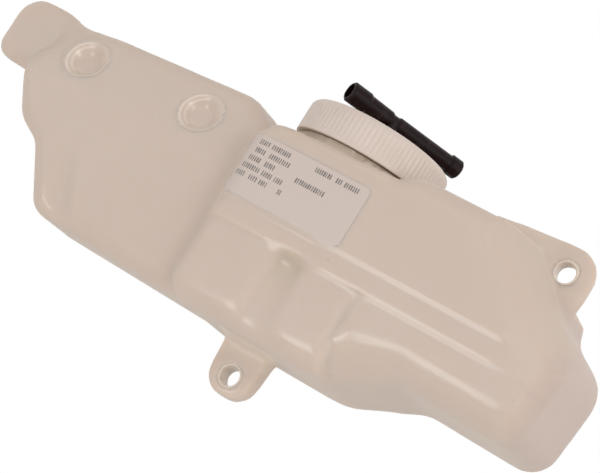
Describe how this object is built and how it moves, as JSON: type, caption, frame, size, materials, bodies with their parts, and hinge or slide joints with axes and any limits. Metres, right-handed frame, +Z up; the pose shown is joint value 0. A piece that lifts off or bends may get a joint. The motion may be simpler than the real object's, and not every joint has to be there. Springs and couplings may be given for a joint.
{
  "type": "coolant expansion tank",
  "caption": "Blow-moulded plastic coolant expansion tank with mounting lugs, a slot-in ear, a ribbed screw cap and a vent tee for hoses.",
  "frame": {"origin": "centre of the lower lug's hole, in the tank's parting plane", "axes": "+Z up along the filler neck's axis, -Y out of the front panel, +X towards the upper lug"},
  "size_m": [0.35, 0.0802, 0.154],
  "materials": {
    "tank_plastic": "milky translucent satin, cream",
    "label_film": "pale film with grey bars",
    "cap_plastic": "satin, pale cream",
    "seal_rubber": "matt black",
    "tee_plastic": "semi-gloss black"
  },
  "bodies": {
    "tank": {"tank_body": "tank_plastic", "label": "label_film"},
    "tee": {"vent_tee": "tee_plastic"},
    "cap": {"filler_cap": "cap_plastic", "cap_seal": "seal_rubber"}
  },
  "joints": [
    {"name": "cap_lift", "type": "slide", "parent": "tank", "child": "tee", "axis": [0, 0, 1], "range_m": [0, 0.0061]},
    {"name": "cap_turn", "type": "hinge", "parent": "tee", "child": "cap", "pos_m": [0, 0, 0.13], "axis": [0, 0, 1], "range_deg": [0, 540]}
  ],
  "couplings": [
    {"joint": "cap_lift", "follows": "cap_turn", "m_per_rad": 0.00063662}
  ]
}
